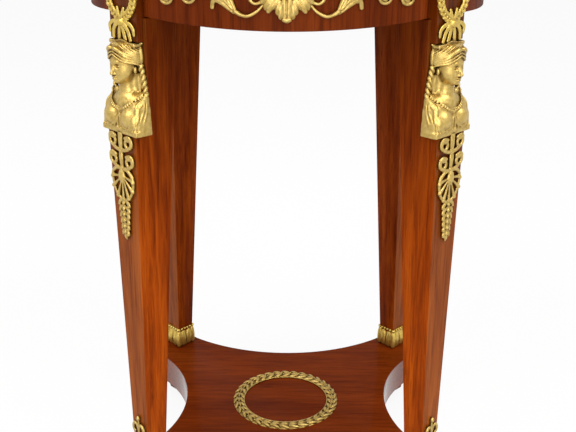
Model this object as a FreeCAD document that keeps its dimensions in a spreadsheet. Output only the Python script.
import FreeCAD, Part
import math
import os

import Sketcher

from FreeCAD import Placement, Rotation, Vector

# Gueridon of mahogany and gilt bronze: a round top on a curved apron, four square tapered legs
# standing on the ears of a concave sided shelf, and low square feet. The origin is on the floor
# under the middle of the top, and the front rail faces -Y. Each leg and its mounts are drawn in
# the leg's own frame, X pointing away from the middle of the table, and then turned into place.

# Driving dimensions in millimetres.
DIMENSIONS = {
    "foot_height": 36,
    "foot_width": 36,
    "foot_toe_width": 25,
    "foot_collar": 8,
    "foot_collar_step": 2,
    "stub_half_width": 6,
    "stub_length": 19,
    "shelf_thickness": 40,
    "shelf_waist": 123,
    "side_waist": 130,
    "side_scoop_radius": 165,
    "ear_half_width": 24.5,
    "ear_root": 211,
    "ear_reach": 243.5,
    "clear_height": 520,
    "leg_face": 230.5,
    "leg_top_width": 52,
    "leg_foot_width": 23,
    "shoulder_height": 4,
    "post_width": 43.5,
    "post_set_back": 9,
    "housing_depth": 16,
    "bust_bottom": 411,
    "bust_height": 90.5,
    "bust_width": 57,
    "bust_depth": 25,
    "rail_height": 98,
    "rail_radius": 214,
    "rail_thickness": 20,
    "rail_half_chord": 132,
    "rail_sweep": 5,
    "tenon_thickness": 10,
    "tenon_length": 15,
    "tenon_root": 5,
    "tenon_shoulder": 19,
    "block_height": 40,
    "block_half_width": 95,
    "block_depth": 24,
    "screw_radius": 2.5,
    "screw_head_radius": 5,
    "screw_head_height": 3,
    "screw_bite": 14,
    "top_radius": 265,
    "top_thickness": 25,
    "top_bevel": 14,
    "top_round": 4,
    "wreath_radius": 69,
    "wreath_band": 15.5,
    "wreath_height": 5,
    "wreath_slope": 4,
    "sabot_height": 31,
    "sabot_half_width": 14.5,
    "mount_thickness": 4,
    "oval_width": 51,
    "oval_height": 60,
    "oval_band": 9,
    "ribbon_width": 5,
    "pendant_width": 44,
    "pendant_height": 115.5,
    "shoe_leaf_width": 22,
    "shoe_leaf_height": 51,
    "palmette_heart": 36,
    "palmette_reach": 29.6,
    "spray_reach": 120,
    "stalk_width": 5,
}

doc = FreeCAD.newDocument("gueridon")
sheet = doc.addObject("Spreadsheet::Sheet", "dimensions")
for row, (alias, value) in enumerate(DIMENSIONS.items(), start=1):
    sheet.set(f"A{row}", alias)
    sheet.set(f"B{row}", str(value))
    sheet.setAlias(f"B{row}", alias)
doc.recompute()

# Levels and derived sizes, as formulas over the sheet.
SHELF_TOP = "(dimensions.foot_height + dimensions.shelf_thickness)"
RAIL_BOTTOM = f"({SHELF_TOP} + dimensions.clear_height)"
RAIL_TOP = f"({RAIL_BOTTOM} + dimensions.rail_height)"
LEG_AXIS = "(dimensions.leg_face - dimensions.leg_foot_width / 2)"
LEG_BACK = "(dimensions.leg_face - dimensions.leg_top_width)"
HOUSING_BACK = "(dimensions.leg_face - dimensions.housing_depth)"
BUST_TOP = "(dimensions.bust_bottom + dimensions.bust_height)"
RAIL_INNER = "(dimensions.rail_radius - dimensions.rail_thickness)"
TENON_FROM = "(dimensions.rail_radius - (dimensions.rail_thickness + dimensions.tenon_thickness) / 2)"
TENON_HEIGHT = "(dimensions.rail_height - 2 * dimensions.tenon_shoulder)"
CHORD_OUT = "((dimensions.ear_root + dimensions.ear_half_width) / sqrt(2))"
CHORD_HALF = "((dimensions.ear_root - dimensions.ear_half_width) / sqrt(2))"
SCOOP_DEPTH = f"({CHORD_OUT} - dimensions.shelf_waist)"
SCOOP_RADIUS = f"(({CHORD_HALF}^2 + {SCOOP_DEPTH}^2) / (2 * {SCOOP_DEPTH}))"
SWEEP_RADIUS = "((dimensions.rail_half_chord^2 + dimensions.rail_sweep^2) / (2 * dimensions.rail_sweep))"

X_AXIS = Vector(1, 0, 0)
Y_AXIS = Vector(0, 1, 0)
Z_AXIS = Vector(0, 0, 1)
CORNERS = {"front_left": -135, "front_right": -45, "back_right": 45, "back_left": 135}
SIDES = {"front": 0, "right": 90, "back": 180, "left": 270}

# Sections of a bust from the foot of its plinth to the top of its cap. Each gives the height, the
# half width and the depth in front of the flat back, as shares of the bust's own, and how round
# the front is: 1 is half an ellipse, and towards 0 it squares up into a box.
BUST_SECTIONS = (
    (0.00, 1.00, 0.76, 0.35),
    (0.08, 1.00, 0.76, 0.35),
    (0.09, 0.94, 0.72, 0.50),
    (0.21, 0.96, 0.96, 0.80),
    (0.43, 0.98, 0.60, 0.90),
    (0.48, 0.56, 0.54, 1.00),
    (0.55, 0.42, 0.56, 1.00),
    (0.58, 0.46, 0.76, 1.00),
    (0.66, 0.58, 0.80, 1.00),
    (0.73, 0.74, 0.82, 1.00),
    (0.78, 0.96, 0.84, 0.90),
    (0.86, 0.96, 0.84, 0.90),
    (0.93, 0.80, 0.70, 0.85),
    (0.94, 0.78, 0.46, 0.80),
    (1.00, 0.80, 0.46, 0.80),
)
SECTION_STEPS = 8

# Number of straight sides of a scroll's eye, an oval wreath, a screw and a full ring of rail
# mounts, and of the steps along a petal and a stem.
EYE_SIDES = 8
OVAL_SIDES = 20
RING_SIDES = 32
SCREW_SIDES = 12
PETAL_STEPS = 3
STEM_STEPS = 4

# A mount is drawn upright on a plate, X to its right and Y up, and then set up on its ground.
ON_LEG = Rotation(Vector(1, 1, 1), 120)
ON_RAIL = Rotation(X_AXIS, 90)

nodes = []


def size(name):
    """Value of a driving dimension."""
    return float(sheet.get(name))


def primitive(kind, name, at=("0", "0", "0"), turn=None, **sizes):
    """A primitive solid whose sizes and base point follow formulas."""
    piece = doc.addObject("Part::" + kind, name)
    if turn is not None:
        piece.Placement = Placement(Vector(), turn)
    for axis, formula in zip("xyz", at):
        piece.setExpression("Placement.Base." + axis, formula)
    for prop, formula in sizes.items():
        piece.setExpression(prop, formula)
    return piece


def combine(kind, name, pieces):
    """The union (MultiFuse) or the shared volume (MultiCommon) of the pieces."""
    result = doc.addObject("Part::" + kind, name)
    result.Shapes = pieces
    result.Refine = True
    return result


def cut(name, base, tool):
    """The base with the tool taken away."""
    result = doc.addObject("Part::Cut", name)
    result.Base = base
    result.Tool = tool
    result.Refine = True
    return result


def node(label, piece, angle=0, height="0"):
    """Name a finished sub-part, turn it about the table's axis and set its level."""
    piece.Label = label
    piece.Placement = Placement(Vector(), Rotation(Z_AXIS, angle))
    piece.setExpression("Placement.Base.z", height)
    nodes.append(piece)


def turned(name, profile):
    """A body revolved about Z from a closed outline of (radius, height) formulas."""
    body = doc.addObject("PartDesign::Body", name)
    sketch = body.newObject("Sketcher::SketchObject", name + "_profile")
    plane = next(item for item in body.Origin.OriginFeatures if item.Role == "XZ_Plane")
    sketch.AttachmentSupport = (plane, [""])
    sketch.MapMode = "FlatFace"
    points = [Vector(*(float(sheet.evalExpression(formula)) for formula in point), 0) for point in profile]
    count = len(points)
    for index, point in enumerate(points):
        sketch.addGeometry(Part.LineSegment(point, points[(index + 1) % count]))
    for index, (radius, level) in enumerate(profile):
        sketch.addConstraint(Sketcher.Constraint("Coincident", index, 2, (index + 1) % count, 1))
        for kind, axis, formula in (("DistanceX", -2, radius), ("DistanceY", -1, level)):
            if formula == "0":
                sketch.addConstraint(Sketcher.Constraint("PointOnObject", index, 1, axis))
            else:
                value = abs(float(sheet.evalExpression(formula)))
                number = sketch.addConstraint(Sketcher.Constraint(kind, -1, 1, index, 1, value))
                sketch.setExpression(f"Constraints[{number}]", formula)
    revolution = body.newObject("PartDesign::Revolution", name + "_turning")
    revolution.Profile = sketch
    revolution.ReferenceAxis = (sketch, ["V_Axis"])
    revolution.Angle = 360
    body.Tip = revolution
    return body


def leg_taper(name):
    """The tapered part of a leg: the outer face is upright, the other three lean in."""
    return primitive(
        "Wedge", name, turn=Rotation(X_AXIS, 90),
        Ymin="0", Ymax="dimensions.clear_height",
        Xmin="dimensions.leg_face - dimensions.leg_foot_width", Xmax="dimensions.leg_face",
        X2min=LEG_BACK, X2max="dimensions.leg_face",
        Zmin="-dimensions.leg_foot_width / 2", Zmax="dimensions.leg_foot_width / 2",
        Z2min="-dimensions.leg_top_width / 2", Z2max="dimensions.leg_top_width / 2",
    )


def stub(name, level):
    """Square stub tenon on a leg's axis."""
    return primitive(
        "Box", name, at=(f"{LEG_AXIS} - dimensions.stub_half_width", "-dimensions.stub_half_width", level),
        Length="2 * dimensions.stub_half_width", Width="2 * dimensions.stub_half_width",
        Height="dimensions.stub_length",
    )


def make_leg(corner, angle):
    """Square tapered leg, cut back in front for the bust, with a narrower post that runs up through
    the apron, two mortises for the rail tenons and a stub tenon into the shelf."""
    taper = leg_taper(f"taper_{corner}")
    housing = primitive(
        "Box", f"housing_{corner}",
        at=(HOUSING_BACK, "-dimensions.leg_top_width", "dimensions.bust_bottom"),
        Length="2 * dimensions.housing_depth", Width="2 * dimensions.leg_top_width",
        Height="dimensions.clear_height",
    )
    shaft = cut(f"leg_shaft_{corner}", taper, housing)
    shoulder = primitive(
        "Box", f"shoulder_{corner}",
        at=(LEG_BACK, "-dimensions.leg_top_width / 2", "dimensions.clear_height"),
        Length="dimensions.leg_top_width - dimensions.housing_depth", Width="dimensions.leg_top_width",
        Height="dimensions.shoulder_height",
    )
    post = primitive(
        "Box", f"post_{corner}", at=(LEG_BACK, "-dimensions.post_width / 2", BUST_TOP),
        Length="dimensions.leg_top_width - dimensions.post_set_back", Width="dimensions.post_width",
        Height=f"dimensions.clear_height + dimensions.rail_height - {BUST_TOP}",
    )
    tenon = stub(f"leg_tenon_{corner}", "-dimensions.stub_length")
    leg = combine("MultiFuse", f"leg_blank_{corner}", [shaft, shoulder, post, tenon])
    for hand, start in (("left", "-dimensions.post_width / 2"),
                        ("right", "dimensions.post_width / 2 - dimensions.tenon_length")):
        mortise = primitive(
            "Box", f"mortise_{hand}_{corner}",
            at=(TENON_FROM, start, "dimensions.clear_height + dimensions.tenon_shoulder"),
            Length="dimensions.tenon_thickness", Width="dimensions.tenon_length", Height=TENON_HEIGHT,
        )
        leg = cut(f"leg_mortised_{hand}_{corner}", leg, mortise)
    node(f"leg_{corner}", leg, angle, SHELF_TOP)


def make_rail(side, angle):
    """Curved apron rail between two legs, its lower edge swept down in the middle, with a tenon
    at each end square to the face of the leg."""
    outer = primitive("Cylinder", f"rail_outer_{side}",
                      Radius="dimensions.rail_radius", Height="dimensions.rail_height")
    inner = primitive("Cylinder", f"rail_inner_{side}", Radius=RAIL_INNER, Height="dimensions.rail_height")
    ring = cut(f"rail_ring_{side}", outer, inner)
    bay = primitive(
        "Box", f"rail_bay_{side}", at=("0", "-dimensions.post_width / sqrt(2)", "0"),
        turn=Rotation(Z_AXIS, -135),
        Length="1.2 * dimensions.rail_radius", Width="1.2 * dimensions.rail_radius",
        Height="dimensions.rail_height",
    )
    sweep = primitive("Cylinder", f"rail_sweep_{side}", at=("0", "0", SWEEP_RADIUS), turn=ON_RAIL,
                      Radius=SWEEP_RADIUS, Height="1.2 * dimensions.rail_radius")
    curve = combine("MultiCommon", f"rail_curve_{side}", [ring, bay, sweep])
    reach = "(dimensions.post_width / 2 + dimensions.tenon_root)"
    depth = "(dimensions.post_width / 2 - dimensions.tenon_length)"
    tenons = []
    for hand, turn, across, sign in (("right", -45, reach, ""), ("left", -135, depth, "-")):
        tenons.append(primitive(
            "Box", f"rail_tenon_{hand}_{side}",
            at=(f"{sign}({TENON_FROM} - {across}) / sqrt(2)", f"-({TENON_FROM} + {across}) / sqrt(2)",
                "dimensions.tenon_shoulder"),
            turn=Rotation(Z_AXIS, turn), Length="dimensions.tenon_thickness",
            Width="dimensions.tenon_length + dimensions.tenon_root", Height=TENON_HEIGHT,
        ))
    node(f"apron_rail_{side}", combine("MultiFuse", f"rail_{side}", [curve] + tenons), angle, RAIL_BOTTOM)


def make_screw(corner, angle):
    """One screw, driven up through a corner block into the top, its head under the block."""
    behind = f"{LEG_BACK} - dimensions.block_depth / 2"
    shank = primitive("Prism", f"shank_{corner}", at=(behind, "0", "0"),
                      Circumradius="dimensions.screw_radius",
                      Height="dimensions.block_height + dimensions.screw_bite")
    head = primitive("Prism", f"screw_head_{corner}", at=(behind, "0", "-dimensions.screw_head_height"),
                     Circumradius="dimensions.screw_head_radius", Height="dimensions.screw_head_height")
    for piece in (shank, head):
        piece.Polygon = SCREW_SIDES
    screw = combine("MultiFuse", f"screw_{corner}", [shank, head])
    screw.Placement = Placement(Vector(), Rotation(Z_AXIS, angle))
    screw.setExpression("Placement.Base.z", f"{RAIL_TOP} - dimensions.block_height")
    return screw


def make_corner_block(corner, angle, screw):
    """Block behind a leg, glued to the leg and to both rails, bored for its screw."""
    board = primitive(
        "Box", f"block_board_{corner}",
        at=(f"{LEG_BACK} - dimensions.block_depth", "-dimensions.block_half_width", "0"),
        Length="dimensions.block_depth", Width="2 * dimensions.block_half_width",
        Height="dimensions.block_height",
    )
    round_end = primitive("Cylinder", f"block_round_{corner}", Radius=RAIL_INNER,
                          Height="dimensions.block_height")
    block = combine("MultiCommon", f"block_{corner}", [board, round_end])
    block.Placement = Placement(Vector(), Rotation(Z_AXIS, angle))
    block.setExpression("Placement.Base.z", f"{RAIL_TOP} - dimensions.block_height")
    node(f"corner_block_{corner}", cut(f"block_bored_{corner}", block, screw))


def make_top(screws):
    """Round top board, bevelled below and eased above, bored for the screws."""
    rim = "dimensions.top_radius"
    board = turned("top_board", [
        ("0", "0"),
        (f"{rim} - dimensions.top_bevel", "0"),
        (rim, "dimensions.top_bevel / 2"),
        (rim, "dimensions.top_thickness - dimensions.top_round"),
        (f"{rim} - dimensions.top_round", "dimensions.top_thickness"),
        ("0", "dimensions.top_thickness"),
    ])
    board.setExpression("Placement.Base.z", RAIL_TOP)
    node("table_top", cut("top_bored", board, screws))


def make_shelf():
    """Undertier: a square board scooped on all four sides, tighter on the left and right, with
    square ears under the legs."""
    longer = "(dimensions.ear_reach + dimensions.ear_half_width) / sqrt(2)"
    shorter = "(dimensions.ear_reach - dimensions.ear_half_width) / sqrt(2)"
    boards = [
        primitive("Box", f"shelf_{name}", at=(f"-{wide}", f"-{deep}", "0"),
                  Length=f"2 * {wide}", Width=f"2 * {deep}", Height="dimensions.shelf_thickness")
        for name, wide, deep in (("square", CHORD_OUT, CHORD_OUT), ("wings", longer, shorter))
    ]
    blank = combine("MultiFuse", "shelf_blank", boards)
    aside = "(dimensions.side_waist + dimensions.side_scoop_radius)"
    away = f"(dimensions.shelf_waist + {SCOOP_RADIUS})"
    scoops = [
        primitive("Cylinder", f"scoop_{side}", at=(x, y, "0"), Radius=radius,
                  Height="dimensions.shelf_thickness")
        for side, x, y, radius in (("left", f"-{aside}", "0", "dimensions.side_scoop_radius"),
                                   ("right", aside, "0", "dimensions.side_scoop_radius"),
                                   ("front", "0", f"-{away}", SCOOP_RADIUS),
                                   ("back", "0", away, SCOOP_RADIUS))
    ]
    middle = cut("shelf_middle", blank, combine("MultiFuse", "scoops", scoops))
    arms = [
        primitive("Box", f"shelf_arm_{turn}", at=place, turn=Rotation(Z_AXIS, turn),
                  Length="2 * dimensions.ear_reach", Width="2 * dimensions.ear_half_width",
                  Height="dimensions.shelf_thickness")
        for turn, place in ((45, (f"-{shorter}", f"-{longer}", "0")), (135, (longer, f"-{shorter}", "0")))
    ]
    board = combine("MultiFuse", "shelf_board", [middle] + arms)
    half = "dimensions.stub_half_width"
    near = f"({LEG_AXIS} - {half})"
    mortises = [
        primitive("Box", f"shelf_mortise_{turn}", turn=Rotation(Z_AXIS, turn),
                  at=(f"({x} * {near} + {y} * {half}) / sqrt(2)",
                      f"({y} * {near} - {x} * {half}) / sqrt(2)", "0"),
                  Length=f"2 * {half}", Width=f"2 * {half}", Height="dimensions.shelf_thickness")
        for turn, x, y in ((45, 1, 1), (135, -1, 1), (225, -1, -1), (315, 1, -1))
    ]
    node("shelf", cut("shelf_mortised", board, combine("MultiFuse", "shelf_mortises", mortises)),
         height="dimensions.foot_height")


def make_foot(corner, angle):
    """Low square foot, tapered to its toe, with a collar and a stub tenon up into the shelf."""
    toe = "dimensions.foot_toe_width / 2"
    top = "dimensions.foot_width / 2"
    step = f"({top} + dimensions.foot_collar_step)"
    taper = primitive(
        "Wedge", f"foot_taper_{corner}", at=(LEG_AXIS, "0", "0"), turn=Rotation(X_AXIS, 90),
        Ymin="0", Ymax="dimensions.foot_height - dimensions.foot_collar",
        Xmin=f"-{toe}", Xmax=toe, Zmin=f"-{toe}", Zmax=toe,
        X2min=f"-{top}", X2max=top, Z2min=f"-{top}", Z2max=top,
    )
    collar = primitive(
        "Box", f"foot_collar_{corner}",
        at=(f"{LEG_AXIS} - {step}", f"-{step}", "dimensions.foot_height - dimensions.foot_collar"),
        Length=f"2 * {step}", Width=f"2 * {step}", Height="dimensions.foot_collar",
    )
    tenon = stub(f"foot_tenon_{corner}", "dimensions.foot_height")
    node(f"foot_{corner}", combine("MultiFuse", f"foot_solid_{corner}", [taper, collar, tenon]), angle)


def make_shelf_wreath():
    """Ring in the middle of the shelf, sloped on both edges."""
    inner = "(dimensions.wreath_radius - dimensions.wreath_band)"
    ring = turned("wreath_ring", [
        (inner, "0"),
        ("dimensions.wreath_radius", "0"),
        ("dimensions.wreath_radius - dimensions.wreath_slope", "dimensions.wreath_height"),
        (f"{inner} + dimensions.wreath_slope", "dimensions.wreath_height"),
    ])
    node("shelf_wreath", ring, height=SHELF_TOP)


def make_sabot(corner, angle):
    """Square shoe round the leg's end: foot plate, body drawn in to a waist, flared rim."""
    # Each course runs from one height to the next, both as shares of the whole height, and
    # from one half width to the next, as shares of the foot plate's.
    courses = ((0, 0.1, 1, 1), (0.1, 0.55, 0.98, 0.9), (0.55, 0.65, 0.9, 0.9),
               (0.65, 0.8, 0.9, 0.97), (0.8, 1, 0.97, 0.97))
    blocks = []
    for count, (low, high, wide_low, wide_high) in enumerate(courses):
        below = f"{wide_low} * dimensions.sabot_half_width"
        above = f"{wide_high} * dimensions.sabot_half_width"
        blocks.append(primitive(
            "Wedge", f"sabot_course_{count}_{corner}", at=(LEG_AXIS, "0", "0"), turn=Rotation(X_AXIS, 90),
            Ymin=f"{low} * dimensions.sabot_height", Ymax=f"{high} * dimensions.sabot_height",
            Xmin=f"-{below}", Xmax=below, Zmin=f"-{below}", Zmax=below,
            X2min=f"-{above}", X2max=above, Z2min=f"-{above}", Z2max=above,
        ))
    shoe = combine("MultiFuse", f"sabot_solid_{corner}", blocks)
    node(f"sabot_{corner}", cut(f"sabot_hollow_{corner}", shoe, leg_taper(f"sabot_core_{corner}")),
         angle, SHELF_TOP)


def bust():
    """Herm bust with a flat cap, lofted from its plinth up, its flat back against the leg."""
    height = size("bust_height")
    half_width = size("bust_width") / 2
    depth = size("bust_depth")
    back = size("leg_face") - size("housing_depth")
    wires = []
    for level, wide, deep, roundness in BUST_SECTIONS:
        points = []
        for step in range(SECTION_STEPS + 1):
            turn = math.pi * (step / SECTION_STEPS - 0.5)
            forward = abs(math.cos(turn)) ** roundness
            across = math.copysign(abs(math.sin(turn)) ** roundness, turn)
            points.append(Vector(back + depth * deep * forward, half_width * wide * across, height * level))
        wires.append(Part.makePolygon(points + points[:1]))
    return Part.makeLoft(wires, True, True)


def drawing(width, height):
    """The sheet that a mount is drawn on: its points are given as shares of a width and a height."""
    return lambda x, y: Vector(x * width, y * height, 0)


def outline(points):
    """The face inside a closed run of straight sides."""
    return Part.Face(Part.makePolygon(points + points[:1]))


def petal(base, tip, width):
    """A pointed leaf between two points, its sides bowed out by half a sine wave."""
    along = tip - base
    side = Z_AXIS.cross(along).normalize() * (width / 2)
    shares = [step / PETAL_STEPS for step in range(1, PETAL_STEPS)]
    right = [base + along * share - side * math.sin(math.pi * share) for share in shares]
    left = [base + along * share + side * math.sin(math.pi * share) for share in reversed(shares)]
    return outline([base] + right + [tip] + left)


def rounded(centre, wide, tall, sides):
    """The face inside a ring of straight sides, wide and tall being its half sizes."""
    turns = [2 * math.pi * step / sides for step in range(sides)]
    return outline([centre + Vector(wide * math.cos(turn), tall * math.sin(turn), 0) for turn in turns])


def eye(centre, outer, inner):
    """The closed eye of a scroll: a ring."""
    return rounded(centre, outer, outer, EYE_SIDES).cut(rounded(centre, inner, inner, EYE_SIDES)).Faces[0]


def stem(start, middle, end, width):
    """A stem of even width along the arc through three points."""
    arc = Part.Arc(start, middle, end).toShape()
    centre = arc.Curve.Center
    half = width / 2 / arc.Curve.Radius
    spread = arc.discretize(STEM_STEPS + 1)
    outer = [centre + (point - centre) * (1 + half) for point in spread]
    inner = [centre + (point - centre) * (1 - half) for point in reversed(spread)]
    return outline(outer + inner)


def fan(centre, reach, width, turns, shrink):
    """Petals spread from one point. Turns are measured in degrees from straight up, and a petal
    loses the given share of its reach for each degree that it leans away from the first."""
    petals = []
    for turn in turns:
        length = reach * (1 - shrink * abs(turn - turns[0]))
        petals.append(petal(centre, centre + Rotation(Z_AXIS, turn).multVec(Y_AXIS) * length, width))
    return petals


def plate(middle, sides, depth):
    """One plate of the middle faces and, on both hands, the side faces."""
    centre = [face.extrude(Vector(0, 0, depth)) for face in middle]
    right = [face.extrude(Vector(0, 0, depth)) for face in sides]
    left = [piece.mirror(Vector(), X_AXIS) for piece in right]
    pieces = centre + right + left
    return pieces[0].fuse(pieces[1:]).removeSplitter()


def mount(label, shape, angle, height):
    """A finished mount as a node of its own."""
    piece = doc.addObject("Part::Feature", label)
    piece.Shape = shape
    node(label, piece, angle, height)


def leg_mount(middle, sides, ground):
    """A plate stood up against the outer face of a leg, at the given distance from the table's axis."""
    upright = Placement(Vector(ground, 0, 0), ON_LEG)
    return plate(middle, sides, size("mount_thickness")).transformed(upright.toMatrix(), copy=True)


def rail_mount(middle, sides):
    """A plate, drawn as seen from in front, bent round the front rail: its back is round like the
    rail, and its face is bent in flat steps."""
    radius = size("rail_radius")
    height = size("rail_height")
    reach = radius + size("mount_thickness")
    ground = Part.makeCylinder(radius, height)
    shell = rounded(Vector(), reach, reach, RING_SIDES).extrude(Vector(0, 0, height)).cut(ground)
    deep = plate(middle, sides, 2 * radius)
    return deep.transformed(Placement(Vector(), ON_RAIL).toMatrix(), copy=True).common(shell)


def leg_wreath():
    """Oval laurel wreath tied with a ribbon, whose ends hang down to the cap of the bust."""
    wide = size("oval_width")
    tall = size("oval_height")
    band = size("oval_band")
    ribbon = size("ribbon_width")
    at = drawing(wide, tall)
    middle = at(0, 0.48)
    hollow = rounded(middle, wide / 2 - band, tall / 2 - band, OVAL_SIDES)
    oval = rounded(middle, wide / 2, tall / 2, OVAL_SIDES).cut(hollow).Faces[0]
    knot = rounded(at(0, -0.02), ribbon, ribbon, EYE_SIDES)
    strands = [petal(at(0, 0.02), at(-0.06, -0.29), ribbon), petal(at(0, 0), at(0.08, -0.27), ribbon)]
    ends = [
        petal(at(0.02, 0), at(0.36, -0.26), 1.2 * ribbon),
        petal(at(0.02, 0.02), at(0.42, -0.13), 1.2 * ribbon),
        petal(at(0, 0.02), at(0.13, 0.25), 0.9 * ribbon),
    ]
    return leg_mount([oval, knot] + strands, ends, size("leg_face") - size("post_set_back"))


def pendant():
    """Pierced drop below the bust: two pairs of scrolls on a stem, a fan of petals, then husks."""
    wide = size("pendant_width")
    tall = size("pendant_height")
    at = drawing(wide, tall)
    spine = petal(at(0, 0), at(0, -0.66), 0.17 * wide)
    husks = [
        petal(at(0, -0.56), at(0, -0.75), 0.25 * wide),
        petal(at(0, -0.71), at(0, -0.88), 0.19 * wide),
        petal(at(0, -0.85), at(0, -1), 0.14 * wide),
    ]
    scrolls = [
        eye(at(0.26, -0.085), 0.24 * wide, 0.11 * wide),
        eye(at(0.24, -0.235), 0.21 * wide, 0.1 * wide),
    ]
    leaves = fan(at(0, -0.3), 0.3 * tall, 0.19 * wide, (180, 206, 232), 0.006)
    return leg_mount([spine] + husks + leaves[:1], scrolls + leaves[1:], size("leg_face"))


def sabot_palmette():
    """Slender pierced palmette rising from the rim of the sabot."""
    wide = size("shoe_leaf_width")
    at = drawing(wide, size("shoe_leaf_height"))
    leaf = petal(at(0, 0), at(0, 1), 0.27 * wide)
    loop = eye(at(0.22, 0.68), 0.23 * wide, 0.12 * wide)
    blade = petal(at(0, 0.06), at(0.43, 0.47), 0.3 * wide)
    return leg_mount([leaf], [loop, blade], size("leg_face"))


def apron_palmette():
    """Palmette in the middle of a rail, its broad petals spread from the heart."""
    heart = Vector(0, size("palmette_heart"), 0)
    reach = size("palmette_reach")
    low = fan(heart, reach, 0.5 * reach, (180, 222, 256), 0.001)
    high = fan(heart, reach, 0.36 * reach, (0, -40, -74), 0.006)
    boss = rounded(heart, 0.2 * reach, 0.2 * reach, EYE_SIDES)
    return rail_mount([boss] + low[:1] + high[:1], low[1:] + high[1:])


def apron_spray(hand):
    """Scroll spray beside the palmette: a tendril, two leaves and two rolled ends."""
    at = drawing(size("spray_reach"), size("rail_height"))
    stalk = size("stalk_width")
    pieces = [
        stem(at(0.25, 0.27), at(0.31, 0.14), at(0.4, 0.21), stalk),
        petal(at(0.37, 0.15), at(0.72, 0.42), 3 * stalk),
        petal(at(0.42, 0.22), at(0.53, 0.6), 2.2 * stalk),
        eye(at(0.75, 0.316), 2.5 * stalk, 1.5 * stalk),
        eye(at(0.915, 0.285), 2 * stalk, 1.1 * stalk),
    ]
    spray = rail_mount(pieces, [])
    return spray if hand == "right" else spray.mirror(Vector(), X_AXIS)


for corner, angle in CORNERS.items():
    make_leg(corner, angle)
    make_foot(corner, angle)
    make_sabot(corner, angle)
    mount(f"bust_{corner}", bust(), angle, f"{SHELF_TOP} + dimensions.bust_bottom")
    mount(f"leg_wreath_{corner}", leg_wreath(), angle, RAIL_BOTTOM)
    mount(f"pendant_{corner}", pendant(), angle, f"{SHELF_TOP} + dimensions.bust_bottom")
    mount(f"sabot_palmette_{corner}", sabot_palmette(), angle, f"{SHELF_TOP} + dimensions.sabot_height")
for side, angle in SIDES.items():
    make_rail(side, angle)
    mount(f"apron_palmette_{side}", apron_palmette(), angle, RAIL_BOTTOM)
    for hand in ("left", "right"):
        mount(f"apron_spray_{side}_{hand}", apron_spray(hand), angle, RAIL_BOTTOM)
make_shelf()
make_shelf_wreath()
screws = {corner: make_screw(corner, angle) for corner, angle in CORNERS.items()}
for corner, angle in CORNERS.items():
    make_corner_block(corner, angle, screws[corner])
top_screws = combine("MultiFuse", "screws", list(screws.values()))
make_top(top_screws)
node("top_screws", top_screws)

doc.recompute()
for item in doc.Objects:
    if "Invalid" in item.State or "Error" in item.State:
        raise RuntimeError(f"{item.Label} failed: {item.State}")
os.makedirs("parts", exist_ok=True)
for piece in nodes:
    if piece.Shape.isNull() or not piece.Shape.isValid():
        raise RuntimeError(f"{piece.Label} has no valid shape")
for piece in nodes:
    piece.Shape.exportStep(f"parts/{piece.Label}.step")
print(len(nodes), "sub-parts written")
